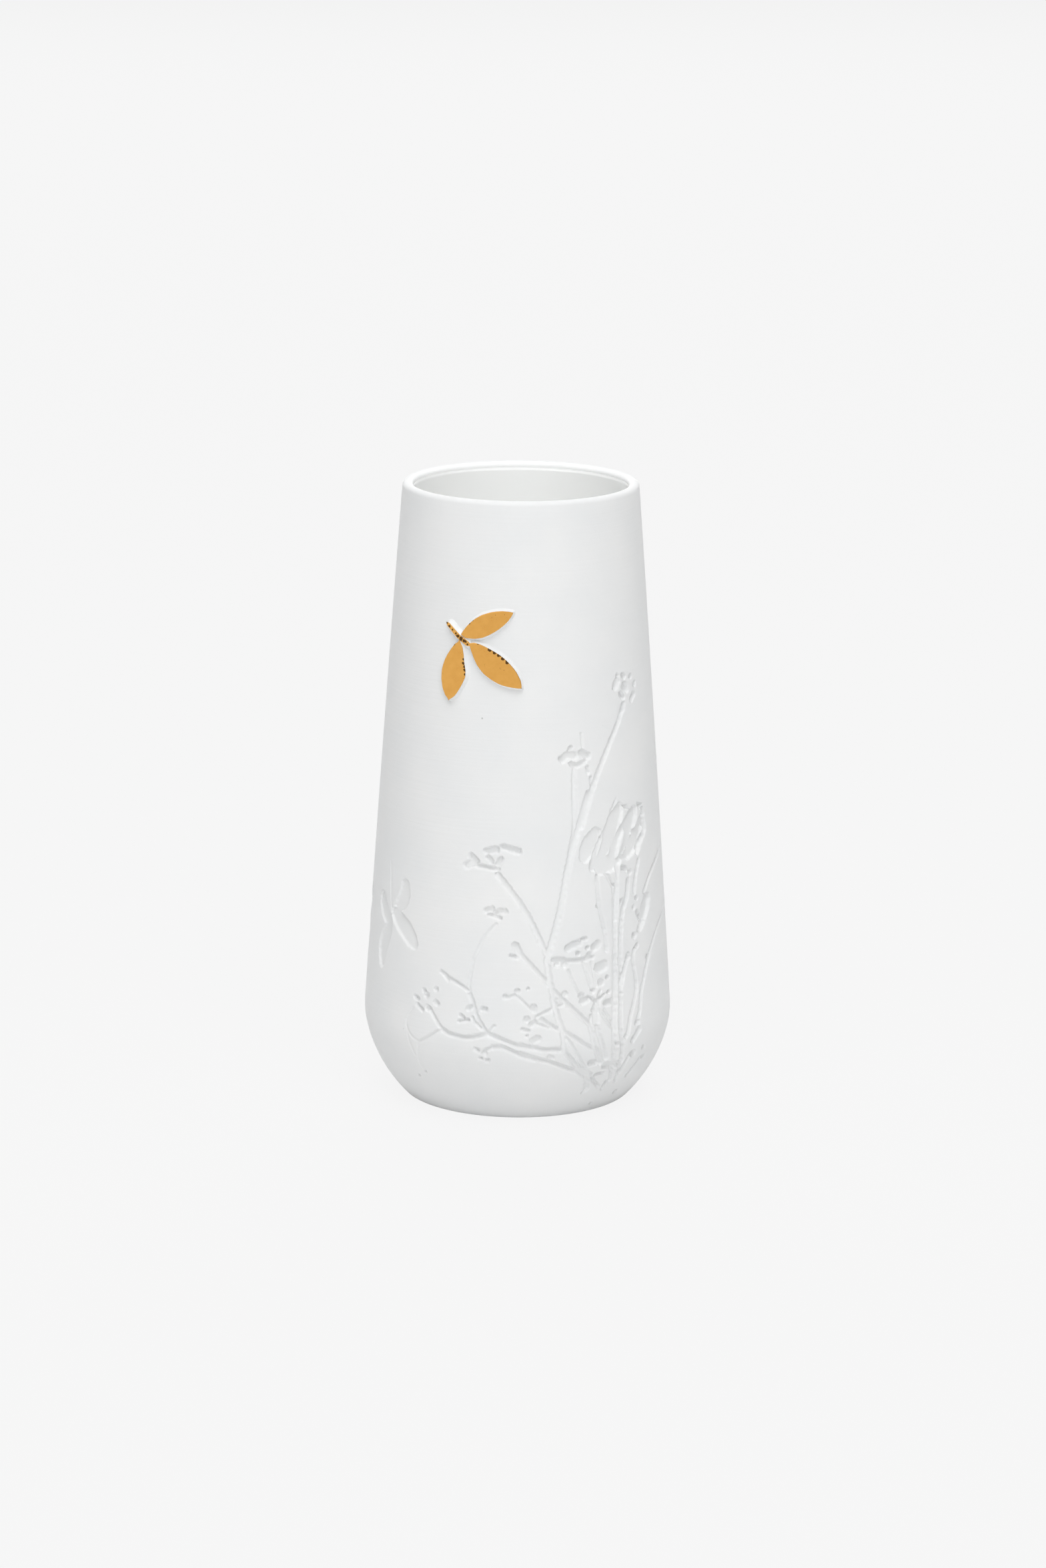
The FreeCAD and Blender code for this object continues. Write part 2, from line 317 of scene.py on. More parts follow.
    (0.5, 0.75, [(50.6, 81), (50.2, 79.8)]),
    # The thin stems of the sprig on the left
    (0.24, 0.19, [(-61.5, 48.8), (-60.4, 45), (-59.6, 42), (-58.4, 39.4)]),
    (0.22, 0.17, [(-58.4, 39.4), (-60.5, 36.8)]),
    # Strokes that run on round the right side
    (0.8, 0.54, [(86, 74), (84, 70.5), (84.5, 67)]),
    (0.34, 0.36, [(92, 57.4), (85, 53.4), (77.5, 49.6)]),
    (0.32, 0.36, [(92, 43.2), (86, 40.4), (79.5, 37.4)]),
]

# Leaves and petals, pressed flat: the same, but each swells from nothing at its ends to its full half
# width.
# A negative half width is a vein that stays raised. The veins come last.
PETALS = [
    (1.8, 0.55, [(26.6, 52), (29.5, 55), (33.8, 57.8)]),
    (2.1, 0.7, [(30, 50), (35.6, 53.4), (40.6, 57), (46.4, 62)]),
    (1.8, 0.7, [(32.6, 49.8), (39.5, 50.8), (46, 52.6)]),
    (2.2, 0.75, [(39, 50), (46.8, 54.6), (51.5, 57.8), (55.4, 60.4)]),
    (1.5, 0.75, [(48, 51), (55, 54.4), (61, 58.6)]),
    (0.6, 0.6, [(46.6, 61.6), (49.4, 61), (52.4, 60.2)]),
    (0.5, 0.5, [(37.6, 57.4), (40.4, 60.2), (44, 63.4)]),
    (0.6, 0.6, [(56.4, 61.4), (58.6, 60.4), (61.6, 60.6)]),
    (1.6, 0.7, [(56.2, 38.2), (59.6, 40.4), (62, 43)]),
    (1.7, 0.42, [(-56, 39.6), (-52.6, 41.6), (-50.4, 43.8), (-50.6, 46.6)]),
    (2.0, 0.46, [(-58.6, 40), (-54, 38.4), (-49, 36.8), (-43, 33.8)]),
    (1.7, 0.42, [(-58.6, 36.6), (-62.4, 38), (-66, 40), (-67.4, 42.4)]),
    (1.9, 0.46, [(-58.8, 37), (-62, 34.4), (-64.4, 31.4), (-64, 27.6)]),
    (-0.6, 0.6, [(43, 51.2), (45.8, 53.8), (48.6, 56.8)]),
    (-0.3, 0.3, [(33.4, 52.4), (35.6, 55), (37, 57.4)]),
]

# The same meadow goes on round the back, turned and mirrored, without the tallest flowers.
BACK_TURN = 207
BACK_LOWER = 1.0


def round_the_back(strokes):
    """The strokes that start below 62 mm, mirrored and turned to the back, as a new list."""
    return [(h, d, [(BACK_TURN - a, z - BACK_LOWER) for a, z in p]) for h, d, p in strokes if p[0][1] < 62]


# ---- Pressing the plants into the wall ----

STEP = 1.2
# The wall starts to fall this far outside a stroke's rim, and is at full depth this far inside it.
OUTSIDE_RIM, INSIDE_RIM = 0.1, 0.3
RAGGED = 0.07
# Each pass of dividing the wall: the longest edge that it leaves, how far inside and outside a rim it
# works, and how far towards the back it goes.
PASSES = [
    (0.8, 1.2, 0.9, 99),
    (0.4, 0.8, 0.5, 99),
    (0.2, INSIDE_RIM + 0.08, OUTSIDE_RIM + 0.08, 6),
]


def eased(a, b, c, d, t):
    """Share t of the way from b to c, on the smooth curve through a, b, c and d."""
    bend, twist = 2 * a - 5 * b + 4 * c - d, 3 * b - a - 3 * c + d
    return 0.5 * (2 * b + (c - a) * t + bend * t * t + twist * t**3)


def smooth_path(points):
    """Points every STEP or so along a smooth curve through the given ones, in (azimuth, height)."""
    ends = [points[0], *points, points[-1]]
    path = []
    for p0, p1, p2, p3 in zip(ends, ends[1:], ends[2:], ends[3:]):
        span = (on_wall(*p1) - on_wall(*p2)).length
        count = max(1, round(span / STEP))
        for i in range(count):
            path.append([eased(*values, i / count) for values in zip(p0, p1, p2, p3)])
    path.append(points[-1])
    return path


def capsules(strokes, swelling):
    """Each stroke as short straight pieces: their two ends, the half width at each, and the depth."""
    pieces = []
    for half, depth, points in strokes:
        path = [np.array(on_wall(*p)) for p in (smooth_path(points) if len(points) > 1 else points * 2)]
        last = len(path) - 1
        wide = [half * (4 * i * (last - i) / last**2) ** 0.6 if swelling else half for i in range(last + 1)]
        pieces += [(*piece, depth) for piece in zip(path, path[1:], wide, wide[1:])]
    return pieces


def wavering(points):
    """How far the rims of the strokes wander from a smooth line at each point."""
    x, y, z = points.T
    waves = np.sin(2.9 * x + 4.1 * z) + np.sin(5.3 * z - 3.7 * y) + np.sin(7.9 * x - 2.3 * z + 6.1 * y)
    return RAGGED * waves / 2


def pressed(pieces, points):
    """How deep each point is pressed, and how far it is from the rim of the nearest stroke."""
    depth, raised = np.zeros(len(points)), np.zeros(len(points))
    gap = np.full(len(points), 9.0)
    order = np.argsort(points[:, 2])
    heights = points[order, 2]
    waver = wavering(points)
    for a, b, half_a, half_b, deep in pieces:
        reach = max(abs(half_a), abs(half_b)) + 1.6
        low, high = np.searchsorted(heights, (min(a[2], b[2]) - reach, max(a[2], b[2]) + reach))
        near = order[low:high]
        near = near[np.abs(points[near, 0] - (a[0] + b[0]) / 2) < reach + abs(a[0] - b[0]) / 2]
        near = near[np.abs(points[near, 1] - (a[1] + b[1]) / 2) < reach + abs(a[1] - b[1]) / 2]
        away, along = points[near] - a, b - a
        t = np.clip(away @ along / max(along @ along, 1e-9), 0, 1)
        half = np.abs(half_a + (half_b - half_a) * t)
        rim = np.linalg.norm(away - t[:, None] * along, axis=1) - half
        rim = rim + waver[near] * np.minimum(1, half / 0.6)
        fall = np.clip((OUTSIDE_RIM - rim) / (OUTSIDE_RIM + np.minimum(half, INSIDE_RIM)), 0, 1)
        fall = deep * fall * fall * (3 - 2 * fall) * np.minimum(1, (half + 0.1) / 0.4)
        if half_a + half_b < 0:
            raised[near] = np.maximum(raised[near], fall)
            gap[near] = np.where(np.abs(rim) < 0.4, rim, gap[near])
        else:
            depth[near] = np.maximum(depth[near], fall)
            gap[near] = np.minimum(gap[near], rim)
    return np.maximum(depth - raised, 0), gap


# ---- Mesh helpers ----


def spun(points, steps):
    """A profile of (radius, height) points spun into a closed surface."""
    bm = bmesh.new()
    verts = [bm.verts.new((r, 0, z)) for r, z in points]
    edges = [bm.edges.new(pair) for pair in zip(verts, verts[1:])]
    bmesh.ops.spin(
        bm,
        geom=verts + edges,
        axis=(0, 0, 1),
        cent=(0, 0, 0),
        dvec=(0, 0, 0),
        angle=math.tau,
        steps=steps,
        use_merge=True,
    )
    bmesh.ops.remove_doubles(bm, verts=bm.verts, dist=1e-4)
    bmesh.ops.recalc_face_normals(bm, faces=bm.faces)
    return bm


def arc(centre, radius, start, end, count):
    """Points along a profile arc, both ends included."""
    return [polar(centre, radius, start + (end - start) * i / count) for i in range(count + 1)]


def finished(bm, material, node):
    """The bmesh, in millimetres, as an object in metres that stands for a CAD node."""
    name = node + "_fine"
    bmesh.ops.scale(bm, vec=(MM, MM, MM), verts=bm.verts)
    mesh = bpy.data.meshes.new(name)
    bm.to_mesh(mesh)
    bm.free()
    mesh.shade_smooth()
    mesh.materials.append(material)
    piece = bpy.data.objects.new(name, mesh)
    scene.collection.objects.link(piece)
    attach(piece, "root")
    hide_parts(node)
    return piece


# ---- The sprig's outlines ----

# The two long edges of each leaf, from its base to its tip, as (azimuth, height) points.
LEAVES = {
    "upper_leaf": (
        [
            (-25.9, 95.6), (-23, 97.4), (-19.6, 98.8), (-16.7, 99.6), (-12.8, 100.2), (-7.8, 100.5),
            (-2.9, 100.3),
        ],
        [
            (-25.9, 95.6), (-23.5, 95), (-19.6, 95), (-16.1, 95.3), (-13.2, 95.9), (-9.3, 97),
            (-5.3, 98.6), (-2.9, 100.3),
        ],
    ),
    "right_leaf": (
        [
            (-21.9, 94), (-19.5, 94.2), (-17.1, 94), (-13.2, 93.3), (-8.2, 92.1), (-4.3, 90.6),
            (-1.4, 89), (0.3, 87.5), (0.9, 85.9),
        ],
        [
            (-21.9, 94), (-21, 92.8), (-19.6, 91.3), (-18.2, 90.1), (-15.2, 88.5), (-11.3, 87.3),
            (-7.4, 86.5), (-3, 86.1), (0.9, 85.9),
        ],
    ),
    "left_leaf": (
        [
            (-26.6, 94.7), (-27.4, 93.9), (-28.7, 93.6), (-31.2, 92.1), (-33.3, 90.4), (-34.6, 88.4),
            (-34.6, 86.8), (-33.9, 85.2), (-32.5, 83.9), (-30.5, 83),
        ],
        [
            (-26.6, 94.7), (-26, 93.9), (-25, 93.1), (-24.4, 91.7), (-24, 90.2), (-23.3, 88.8),
            (-23.3, 87.6), (-25.6, 85.4), (-28, 83.8), (-30.5, 83),
        ],
    ),
}
# The middle of the twig, and half its width.
TWIG = [(-33, 97.5), (-31.2, 96.8), (-29.2, 96), (-27.2, 95.2), (-25, 94.6), (-22, 93.7)]
TWIG_HALF = 0.4
# How high the porcelain stands above the wall, how thick the gold on it is, and the radius of the wall
# about half way up the sprig, on which the outlines are unrolled.
RELIEF = 0.85
GILDING = 0.1
UNROLL = outer(92)


def curve(points, count):
    """A smooth curve through (azimuth, height) points, evenly spaced, as flat (x, y) in millimetres."""
    path = [Vector((math.radians(a) * UNROLL, z)) for a, z in smooth_path(points)]
    runs = [0.0]
    for a, b in zip(path, path[1:]):
        runs.append(runs[-1] + (b - a).length)
    even = []
    for i in range(count + 1):
        want = runs[-1] * i / count
        k = min(max(1, next((j for j, r in enumerate(runs) if r >= want), len(runs) - 1)), len(runs) - 1)
        part = (want - runs[k - 1]) / max(runs[k] - runs[k - 1], 1e-9)
        even.append(path[k - 1].lerp(path[k], part))
    return even


# ---- Materials ----


def new_material(name):
    """An empty material, with its nodes, its links and its main shader."""
    material = bpy.data.materials.new(name)
    material.use_nodes = True
    nodes = material.node_tree.nodes
    return material, nodes, material.node_tree.links, nodes["Principled BSDF"]


def noise(nodes, links, coords, scale, detail, stretch=(1, 1, 1)):
    """A noise texture on the object's own coordinates. Returns its Factor output."""
    mapping = nodes.new("ShaderNodeMapping")
    mapping.inputs["Scale"].default_value = stretch
    links.new(coords, mapping.inputs["Vector"])
    texture = nodes.new("ShaderNodeTexNoise")
    texture.inputs["Scale"].default_value = scale
    texture.inputs["Detail"].default_value = detail
    links.new(mapping.outputs["Vector"], texture.inputs["Vector"])
    return texture.outputs["Fac"]


def bump(nodes, links, height, distance, below=None):
    """A bump of that many metres, on top of another."""
    node = nodes.new("ShaderNodeBump")
    node.inputs["Distance"].default_value = distance
    links.new(height, node.inputs["Height"])
    if below:
        links.new(below, node.inputs["Normal"])
    return node.outputs["Normal"]


def ramp(nodes, links, factor, stops):
    """A colour ramp through (position, colour) stops."""
    node = nodes.new("ShaderNodeValToRGB")
    elements = node.color_ramp.elements
    while len(elements) < len(stops):
        elements.new(0.5)
    for element, (position, colour) in zip(elements, stops):
        element.position = position
        element.color = (*colour, 1)
    links.new(factor, node.inputs["Fac"])
    return node.outputs["Color"]


def coordinates(nodes):
    """The Object coordinates of the piece."""
    return nodes.new("ShaderNodeTexCoord").outputs["Object"]


def combined(nodes, links, operation, first, second):
    """A Math node on a socket and either a number or another socket."""
    node = nodes.new("ShaderNodeMath")
    node.operation = operation
    links.new(first, node.inputs[0])
    if isinstance(second, float):
        node.inputs[1].default_value = second
    else:
        links.new(second, node.inputs[1])
    return node.outputs[0]


def blended(nodes, links, kind, first, second):
    """Two colours blended in full, by LIGHTEN or MULTIPLY."""
    node = nodes.new("ShaderNodeMix")
    node.data_type = "RGBA"
    node.blend_type = kind
    node.inputs["Factor"].default_value = 1
    links.new(first, node.inputs["A"])
    links.new(second, node.inputs["B"])
    return node.outputs["Result"]


def spots(nodes, links, at, scale, dark, rare):
    """Small round spots: dark is the ramp from a spot's centre outward, rare the ramp that leaves a few."""
    cells = nodes.new("ShaderNodeTexVoronoi")
    cells.inputs["Scale"].default_value = scale
    links.new(at, cells.inputs["Vector"])
    marks = ramp(nodes, links, cells.outputs["Distance"], dark)
    return blended(nodes, links, "LIGHTEN", marks, ramp(nodes, links, *rare))


def seen(nodes, links):
    """One for a ray from the camera or from a glossy surface, and nothing for the others."""
    path = nodes.new("ShaderNodeLightPath")
    return combined(nodes, links, "MAXIMUM", path.outputs["Is Camera Ray"], path.outputs["Is Glossy Ray"])


def painted_lip_glow(nodes, links, at, shader):
    """Painted glow: a faint emission on the inside of the lip only, standing in for light that comes
    through the thin wall.
    """
    level = nodes.new("ShaderNodeVectorMath")
    level.operation = "MULTIPLY"
    level.inputs[1].default_value = (1, 1, 0)
    links.new(at, level.inputs[0])
    reach = nodes.new("ShaderNodeVectorMath")
    reach.operation = "LENGTH"
    links.new(level.outputs["Vector"], reach.inputs[0])
    within = nodes.new("ShaderNodeMapRange")
    within.inputs["From Min"].default_value = outer(HEIGHT - LIP, LIP) * MM
    within.inputs["From Max"].default_value = outer(HEIGHT - LIP, 2 * LIP) * MM
    within.inputs["To Max"].default_value = 0.15
    links.new(reach.outputs["Value"], within.inputs["Value"])
    height = nodes.new("ShaderNodeSeparateXYZ")
    links.new(at, height.inputs["Vector"])
    above = combined(nodes, links, "GREATER_THAN", height.outputs["Z"], 0.1)
    both = combined(nodes, links, "MULTIPLY", within.outputs["Result"], above)
    # The emission is painted light on the inside of the lip.
    shader.inputs["Emission Color"].default_value = (1, 1, 0.985, 1)
    links.new(both, shader.inputs["Emission Strength"])


def porcelain(name, specks_and_lip_glow):
    """Unglazed porcelain, smoothed with a sponge: faint lines, fine grain, and where asked a few dark
    speckles and a painted glow on the inside of the lip.
    """
    material, nodes, links, shader = new_material(name)
    at = coordinates(nodes)
    shader.inputs["Roughness"].default_value = 0.55
    shader.inputs["Diffuse Roughness"].default_value = 0.4
    shader.inputs["IOR"].default_value = 1.45
    shader.inputs["Specular IOR Level"].default_value = 0.35
    clouds = noise(nodes, links, at, 90, 3)
    tint = ramp(nodes, links, clouds, [(0.3, (0.845, 0.855, 0.858)), (0.7, (0.872, 0.876, 0.874))])
    if specks_and_lip_glow:
        # Painted glow on the inside of the lip.
        painted_lip_glow(nodes, links, at, shader)
        dark = [(0.0, (0.5, 0.49, 0.48)), (0.045, (1, 1, 1))]
        rare = noise(nodes, links, at, 70, 0), [(0.66, (1, 1, 1)), (0.68, (0, 0, 0))]
        tint = blended(nodes, links, "MULTIPLY", tint, spots(nodes, links, at, 190, dark, rare))
    links.new(tint, shader.inputs["Base Color"])
    waves = bump(nodes, links, noise(nodes, links, at, 60, 1), 0.0002)
    lines = bump(nodes, links, noise(nodes, links, at, 40, 2, (1, 1, 34)), 0.00004, waves)
    grain = bump(nodes, links, noise(nodes, links, at, 3200, 2), 0.000012, lines)
    links.new(grain, shader.inputs["Normal"])
    return material


def clear_glaze():
    """Clear gloss over white: smooth, with the slow waves of a poured glaze, and a faint painted glow."""
    material, nodes, links, shader = new_material("clear glaze")
    at = coordinates(nodes)
    shader.inputs["Roughness"].default_value = 0.12
    shader.inputs["IOR"].default_value = 1.5
    shader.inputs["Coat Weight"].default_value = 1
    shader.inputs["Coat Roughness"].default_value = 0.04
    clouds = noise(nodes, links, at, 70, 2)
    tint = ramp(nodes, links, clouds, [(0.3, (0.93, 0.94, 0.935)), (0.7, (0.95, 0.955, 0.945))])
    links.new(tint, shader.inputs["Base Color"])
    # Painted light: a faint emission over the whole glaze, standing in for light that comes through the
    # thin wall.
    shader.inputs["Emission Color"].default_value = (1, 1, 0.985, 1)
    shader.inputs["Emission Strength"].default_value = 0.08
    links.new(bump(nodes, links, noise(nodes, links, at, 45, 1), 0.0003), shader.inputs["Normal"])
    return material


# Dark marks along the edges of the gold: the edge that they follow, where they start and end as shares of
# its length, how many there are, and how far each reaches.
GOLD_EDGE_MARKS = [
    (LEAVES["right_leaf"][0], 0.3, 0.58, 5, 0.46),
    (LEAVES["right_leaf"][0], 0.12, 0.12, 1, 0.16),
    (LEAVES["right_leaf"][0], 1.0, 1.0, 1, 0.2),
    (LEAVES["left_leaf"][0], 0.12, 0.12, 1, 0.2),
    (LEAVES["left_leaf"][1], 0.3, 0.52, 5, 0.32),
    (LEAVES["left_leaf"][1], 0.6, 0.6, 1, 0.16),
    (LEAVES["upper_leaf"][0], 0.24, 0.31, 2, 0.18),
    (TWIG, 0.0, 0.45, 4, 0.24),
    (TWIG, 0.55, 0.8, 3, 0.38),
    (TWIG, 0.85, 0.95, 2, 0.25),
]
# Half of how far the outline of a mark wanders, in metres.
WANDER = 0.0003


def gold_edge_marks():
    """Every dark mark on the gold: its place in metres and its reach in millimetres."""
    marks = []
    for edge, start, end, count, reach in GOLD_EDGE_MARKS:
        path = curve(edge, 100)
        for i in range(count):
            x, z = path[round(100 * (start + (end - start) * i / max(1, count - 1)))]
            marks.append((on_wall(math.degrees(x / UNROLL), z, RELIEF + GILDING) * MM, reach))
    return marks


def less_edge_marks(nodes, links, at, unmarked):
    """The unmarked share of the gold, less the dark marks along its edges, whose outlines wander a little.
    """
    cells = nodes.new("ShaderNodeTexNoise")
    cells.inputs["Scale"].default_value = 1500
    links.new(at, cells.inputs["Vector"])
    wander = nodes.new("ShaderNodeVectorMath")
    wander.operation = "MULTIPLY_ADD"
    wander.inputs[1].default_value = Vector((2, 2, 2)) * WANDER
    links.new(cells.outputs["Color"], wander.inputs[0])
    links.new(at, wander.inputs[2])
    for place, reach in gold_edge_marks():
        apart = nodes.new("ShaderNodeVectorMath")
        apart.operation = "DISTANCE"
        links.new(wander.outputs["Vector"], apart.inputs[0])
        apart.inputs[1].default_value = place + Vector((1, 1, 1)) * WANDER
        edge = nodes.new("ShaderNodeMapRange")
        edge.inputs["From Min"].default_value = reach * 0.8 * MM
        edge.inputs["From Max"].default_value = reach * MM
        links.new(apart.outputs["Value"], edge.inputs["Value"])
        unmarked = combined(nodes, links, "MINIMUM", unmarked, edge.outputs["Result"])
    return unmarked


def gold():
    """Fired bright gold: a little uneven in tone, brushed on, with fine pits."""
    material, nodes, links, shader = new_material("fired gold")
    at = coordinates(nodes)
    shader.inputs["Metallic"].default_value = 1
    streaks = noise(nodes, links, at, 700, 4)
    tint = ramp(nodes, links, streaks, [(0.3, (0.77, 0.395, 0.095)), (0.7, (0.83, 0.44, 0.113))])
    dark = [(0.06, (0, 0, 0)), (0.16, (1, 1, 1))]
    rare = noise(nodes, links, at, 620, 1), [(0.6, (1, 1, 1)), (0.66, (0, 0, 0))]
    pits = spots(nodes, links, at, 1900, dark, rare)
    unmarked = less_edge_marks(nodes, links, at, pits)
    # Where the edge marks or the pits fall, the gold's colour turns dark brown.
    marked_gold = nodes.new("ShaderNodeMix")
    marked_gold.data_type = "RGBA"
    links.new(unmarked, marked_gold.inputs["Factor"])
    marked_gold.inputs["A"].default_value = (0.12, 0.06, 0.02, 1)
    links.new(tint, marked_gold.inputs["B"])
    links.new(marked_gold.outputs["Result"], shader.inputs["Base Color"])
    gloss = ramp(nodes, links, streaks, [(0.3, (0.26, 0.26, 0.26)), (0.7, (0.36, 0.36, 0.36))])
    links.new(gloss, shader.inputs["Roughness"])
    uneven = bump(nodes, links, noise(nodes, links, at, 420, 2), 0.00002)
    links.new(bump(nodes, links, pits, 0.00002, uneven), shader.inputs["Normal"])
    return material


bisque = porcelain("bisque porcelain", True)
sprig_white = porcelain("sprig porcelain", False)
glazed = clear_glaze()
gilt = gold()

# ---- The body ----

# Steps round the vase, and how far apart the rings of the outside are before the wall is divided.
SPIN = 144
RING = 1.3
OUTER_LOW, OUTER_HIGH = 1.0, HEIGHT - 1.1


def wall_profile(inset, low_angle, top, spacing):
    """Heel, shoulder and side as profile points, all moved in by inset."""
    centre, radius = SIDE_C, SIDE - inset
    side_end = math.asin((top - centre[1]) / radius)
    stretches = (
        (HEEL_C, HEEL - inset, low_angle, -TO_HEEL),
        (SHOULDER_C, SHOULDER - inset, -TO_HEEL, TO_SIDE),
        (centre, radius, TO_SIDE, side_end),
    )
    points = []
    for c, r, start, end in stretches:
        points += arc(c, r, start, end, max(3, round(r * (end - start) / spacing)))[:-1]
    return [*points, polar(centre, radius, side_end)]


def meeting(inset, rise):
    """Where a circle that rolls inside the heel, its centre at that height, touches the heel."""
    reach = HEEL - inset
    centre = (HEEL_C[0] + math.sqrt(reach**2 - (rise - HEEL_C[1]) ** 2), rise)
    return centre, math.atan2(rise - HEEL_C[1], centre[0] - HEEL_C[0])


def lining(inset, floor, fillet, top, spacing):
    """The inside, from the axis over the floor and up the wall."""
    centre, meet = meeting(inset + fillet, floor + fillet)
    flat = [(centre[0] * i / 5, floor) for i in range(5)]
    return flat + arc(centre, fillet, -math.pi / 2, meet, 8)[:-1] + wall_profile(inset, meet, top, spacing)


def body():
    """The casting: foot ring and recess, outside, rounded lip, and the inside down to the floor."""
    centre, meet = meeting(FOOT_EDGE, FOOT_EDGE)
    ring_in = centre[0] - FOOT_RING
    under = [(0, RECESS), (8, RECESS), (ring_in - 1.9, RECESS), (ring_in - 1.5, RECESS - 0.03)]
    under += [(ring_in - 1.1, RECESS - 0.2), (ring_in - 0.5, 0.2), (ring_in - 0.2, 0.04)]
    under += [(ring_in + 0.2, 0), (centre[0] - 1.2, 0)]
    foot = arc(centre, FOOT_EDGE, -math.pi / 2, meet, 5)[:-1]
    lip_z = HEIGHT - LIP
    out_c, in_c = (outer(lip_z, LIP), lip_z), (outer(lip_z, WALL - LIP), lip_z)
    out_angle = math.atan2(lip_z - SIDE_C[1], out_c[0] - SIDE_C[0])
    out_top = polar(SIDE_C, SIDE, out_angle)[1]
    in_top = polar(SIDE_C, SIDE - WALL, out_angle)[1]
    outside = wall_profile(0, meet, out_top, RING)
    rim = arc(out_c, LIP, out_angle, math.pi / 2, 8)[1:]
    rim += arc(in_c, LIP, math.pi / 2, math.pi + out_angle, 8)
    inside = lining(WALL, INSIDE_FLOOR, FILLET, in_top, 6)[::-1]
    return spun(under + foot + outside + rim + inside[1:], SPIN)


def on_outside(co):
    """Whether a point lies on the outside, away from the foot and the lip."""
    return OUTER_LOW < co.z < OUTER_HIGH and abs(math.hypot(co.x, co.y) - outer(co.z)) < 0.3


def coordinates_of(verts):
    """The places of the vertices as rows of an array."""
    return np.array([v.co for v in verts]).reshape(-1, 3)


def snap(verts):
    """Moves new vertices level, out to the true round of the wall."""
    for v in verts:
        scale = outer(v.co.z) / math.hypot(v.co.x, v.co.y)
        v.co.x *= scale
        v.co.y *= scale


def press_plants(bm, pieces):
    """Divides the outside finely along the rims of the strokes, then pushes it in along its own normal."""
    for longest, within, beyond, back in PASSES:
        verts = [v for v in bm.verts if on_outside(v.co)]
        _, gap = pressed(pieces, coordinates_of(verts))
        wanted = {v for v, g in zip(verts, gap) if -within < g < beyond and v.co.y < back}
        edges = [
            e
            for e in bm.edges
            if (e.verts[0] in wanted or e.verts[1] in wanted)
            and on_outside(e.verts[0].co)
            and on_outside(e.verts[1].co)
            and e.calc_length() > longest
        ]
        made = bmesh.ops.subdivide_edges(bm, edges=edges, cuts=1, use_grid_fill=True)
        snap([g for g in made["geom_inner"] if isinstance(g, bmesh.types.BMVert)])
    verts = [v for v in bm.verts if on_outside(v.co)]
    depth, _ = pressed(pieces, coordinates_of(verts))
    for v, d in zip(verts, depth):
        if d > 0:
            out, up = slope(v.co.z)
            radius = math.hypot(v.co.x, v.co.y)
            v.co -= float(d) * Vector((v.co.x / radius * out, v.co.y / radius * out, up))


bm = body()
plants = capsules(MEADOW + round_the_back(MEADOW), False)
plants += capsules(PETALS + round_the_back(PETALS), True)
press_plants(bm, plants)
bmesh.ops.recalc_face_normals(bm, faces=bm.faces)
finished(bm, bisque, "vase_body")

# ---- The glaze inside ----


def glaze_lining():
    """The glaze, of one thickness up the wall and thinning to nothing near the lip."""
    top = HEIGHT - GLAZE_BELOW_RIM
    wet = lining(WALL + GLAZE, INSIDE_FLOOR + GLAZE, FILLET - GLAZE, top - 6, 6)
    thinning = [(4, 0.1), (2, 0.06), (0.8, 0.025)]
    edge = [(outer(top - down, WALL + rise), top - down) for down, rise in thinning]
    against = lining(WALL, INSIDE_FLOOR, FILLET, top, 6)[::-1]
    return spun(wet + edge + against, SPIN)


finished(glaze_lining(), glazed, "inner_glaze")

# ---- The sprig ----


def patch(first, second, inset, rise, across=10):
    """A flat sheet between two edges that share their ends, held back from them by inset."""
    count = len(first) - 1
    bm = bmesh.new()
    bmesh.ops.create_grid(bm, x_segments=count, y_segments=across, size=0.5)
    ordered = sorted(bm.verts, key=lambda v: (round(v.co.x, 4), v.co.y))
    for i in range(count + 1):
        a, b = first[i], second[i]
        middle, half = (a + b) / 2, (a - b).length / 2
        keep = max(0.0, 1 - inset / half) if half > 1e-6 else 0.0
        for j, v in enumerate(ordered[i * (across + 1) : (i + 1) * (across + 1)]):
            at = b.lerp(a, 0.5 + (j / across - 0.5) * keep)
            v.co = (at.x, at.y, rise)
    bmesh.ops.remove_doubles(bm, verts=bm.verts, dist=1e-3)
    bmesh.ops.recalc_face_normals(bm, faces=bm.faces)
    return bm


def skirt(bm, steps):
    """Carries the sheet's edge out and down through (distance out, height) steps and closes it below."""
    rim = [e for e in bm.edges if e.is_boundary]
    away = {}
    for e in rim:
        a, b = (v.co.xy for v in e.verts)
        normal = Vector((b.y - a.y, a.x - b.x)).normalized()
        inner = e.link_faces[0].calc_center_median().xy
        if normal.dot((a + b) / 2 - inner) < 0:
            normal.negate()
        for v in e.verts:
            away[v] = away.get(v, Vector((0, 0))) + normal
    base = {v: (v.co.xy.copy(), n.normalized()) for v, n in away.items()}
    for out, height in steps:
        made = bmesh.ops.extrude_edge_only(bm, edges=rim)["geom"]
        new = [g for g in made if isinstance(g, bmesh.types.BMVert)]
        carried = {}
        for v in new:
            source = next(u for u in (e.other_vert(v) for e in v.link_edges) if u in base)
            carried[v] = base[source]
            at = base[source][0] + base[source][1] * out
            v.co = (at.x, at.y, height)
        base = carried
        rim = [g for g in made if isinstance(g, bmesh.types.BMEdge) and g.is_boundary]
    bmesh.ops.holes_fill(bm, edges=rim, sides=0)
    bmesh.ops.recalc_face_normals(bm, faces=bm.faces)
    return bm


def wrapped(bm):
    """The flat piece laid on the wall: x round it, y up it, z out of it."""
    for v in bm.verts:
        v.co = on_wall(math.degrees(v.co.x / UNROLL), v.co.y, v.co.z)
    return bm


